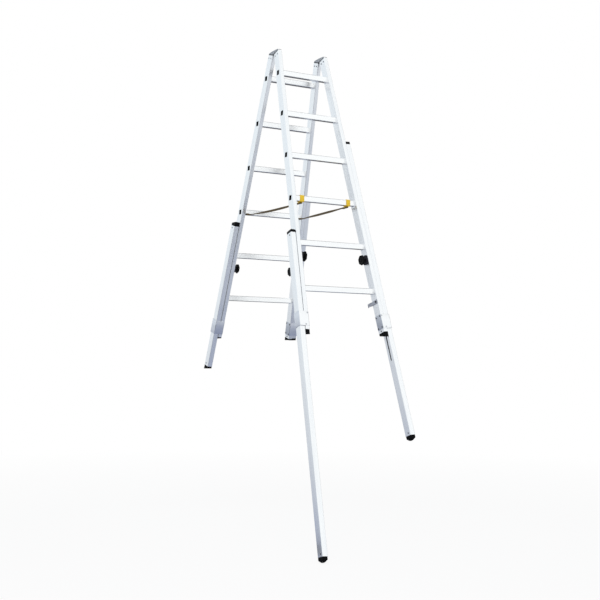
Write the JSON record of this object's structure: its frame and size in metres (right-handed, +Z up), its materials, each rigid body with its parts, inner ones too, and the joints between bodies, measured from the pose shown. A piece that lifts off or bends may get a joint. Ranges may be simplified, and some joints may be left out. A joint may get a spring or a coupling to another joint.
{
  "type": "stairwell ladder",
  "caption": "Aluminium double ladder for stairwells with tapered sections, level rungs and clamped telescopic legs that reach down the stairs",
  "frame": {"origin": "bottom centre of the whole ladder's box, standing as pictured", "axes": "+X along the rungs to the right as seen from the front, +Y from the front section to the rear section, +Z up"},
  "size_m": [0.7066, 1.6208, 2.9294],
  "materials": {
    "mill_aluminium": "mill finish extrusion",
    "cast_aluminium": "grey die casting",
    "sleeve_sheet": "rolled sheet",
    "black_plastic": "moulded black",
    "black_rubber": "matt black",
    "yellow_plastic": "bright yellow",
    "webbing": "woven brown",
    "zinc_steel": "zinc plated"
  },
  "bodies": {
    "front_section": {"catch_pivot": "zinc_steel", "front_clamp_bolts": "zinc_steel", "front_left_clamp_block": "black_plastic", "front_left_guide_sleeve": "sleeve_sheet", "front_left_hinge_head": "cast_aluminium", "front_left_stile": "mill_aluminium", "front_left_stile_foot": "black_rubber", "front_right_clamp_block": "black_plastic", "front_right_guide_sleeve": "sleeve_sheet", "front_right_hinge_head": "cast_aluminium", "front_right_stile": "mill_aluminium", "front_right_stile_foot": "black_rubber", "front_rung_1": "mill_aluminium", "front_rung_2": "mill_aluminium", "front_rung_3": "mill_aluminium", "front_rung_4": "mill_aluminium", "front_rung_5": "mill_aluminium", "front_rung_6": "mill_aluminium", "front_top_seals": "black_plastic", "hinge_pins": "zinc_steel", "left_strap": "webbing", "right_strap": "webbing", "strap_clips": "yellow_plastic"},
    "rear_section": {"rear_clamp_bolts": "zinc_steel", "rear_left_clamp_block": "black_plastic", "rear_left_guide_sleeve": "sleeve_sheet", "rear_left_hinge_head": "cast_aluminium", "rear_left_stile": "mill_aluminium", "rear_left_stile_foot": "black_rubber", "rear_right_clamp_block": "black_plastic", "rear_right_guide_sleeve": "sleeve_sheet", "rear_right_hinge_head": "cast_aluminium", "rear_right_stile": "mill_aluminium", "rear_right_stile_foot": "black_rubber", "rear_rung_1": "mill_aluminium", "rear_rung_2": "mill_aluminium", "rear_rung_3": "mill_aluminium", "rear_rung_4": "mill_aluminium", "rear_rung_5": "mill_aluminium", "rear_rung_6": "mill_aluminium", "rear_top_seals": "black_plastic", "strap_studs": "zinc_steel"},
    "front_left_leg_unit": {"front_left_leg": "mill_aluminium", "front_left_leg_cap": "black_plastic", "front_left_leg_foot": "black_rubber"},
    "front_left_knob_unit": {"front_left_clamp_knob": "black_plastic"},
    "front_right_leg_unit": {"front_right_leg": "mill_aluminium", "front_right_leg_cap": "black_plastic", "front_right_leg_foot": "black_rubber"},
    "front_right_knob_unit": {"front_right_clamp_knob": "black_plastic"},
    "rear_left_leg_unit": {"rear_left_leg": "mill_aluminium", "rear_left_leg_cap": "black_plastic", "rear_left_leg_foot": "black_rubber"},
    "rear_left_knob_unit": {"rear_left_clamp_knob": "black_plastic"},
    "rear_right_leg_unit": {"rear_right_leg": "mill_aluminium", "rear_right_leg_cap": "black_plastic", "rear_right_leg_foot": "black_rubber"},
    "rear_right_knob_unit": {"rear_right_clamp_knob": "black_plastic"},
    "catch_unit": {"carrying_catch": "zinc_steel"}
  },
  "joints": [
    {"name": "fold", "type": "hinge", "parent": "front_section", "child": "rear_section", "pos_m": [0.01674, 0.15033, 2.9184], "axis": [1, 0, 0], "range_deg": [-34.5, 0], "deforming": ["left_strap", "right_strap"]},
    {"name": "front_left_leg_slide", "type": "slide", "parent": "front_section", "child": "front_left_leg_unit", "axis": [-0.0541, -0.2961, -0.9536], "range_m": [-1.2295, 0.0235]},
    {"name": "front_right_leg_slide", "type": "slide", "parent": "front_section", "child": "front_right_leg_unit", "axis": [0.0541, -0.2961, -0.9536], "range_m": [-0.6105, 0.6425]},
    {"name": "rear_left_leg_slide", "type": "slide", "parent": "rear_section", "child": "rear_left_leg_unit", "axis": [-0.0541, 0.2961, -0.9536], "range_m": [-0.202, 0.162]},
    {"name": "rear_right_leg_slide", "type": "slide", "parent": "rear_section", "child": "rear_right_leg_unit", "axis": [0.0541, 0.2961, -0.9536], "range_m": [0, 0.364]},
    {"name": "front_left_knob_turn", "type": "hinge", "parent": "front_section", "child": "front_left_knob_unit", "pos_m": [-0.19772, -0.28436, 1.62298], "axis": [-0.9985, 0.016, 0.0516], "range_deg": [-720, 0]},
    {"name": "front_right_knob_turn", "type": "hinge", "parent": "front_section", "child": "front_right_knob_unit", "pos_m": [0.23119, -0.28436, 1.62298], "axis": [0.9985, 0.016, 0.0516], "range_deg": [-720, 0]},
    {"name": "rear_left_knob_turn", "type": "hinge", "parent": "rear_section", "child": "rear_left_knob_unit", "pos_m": [-0.19772, 0.58503, 1.62298], "axis": [-0.9985, -0.016, 0.0516], "range_deg": [-720, 0]},
    {"name": "rear_right_knob_turn", "type": "hinge", "parent": "rear_section", "child": "rear_right_knob_unit", "pos_m": [0.23119, 0.58503, 1.62298], "axis": [0.9985, -0.016, 0.0516], "range_deg": [-720, 0]},
    {"name": "catch_swing", "type": "hinge", "parent": "front_section", "child": "catch_unit", "pos_m": [0.25211, -0.37514, 1.37447], "axis": [0.9985, 0.016, 0.0516], "range_deg": [-90, 0]}
  ]
}
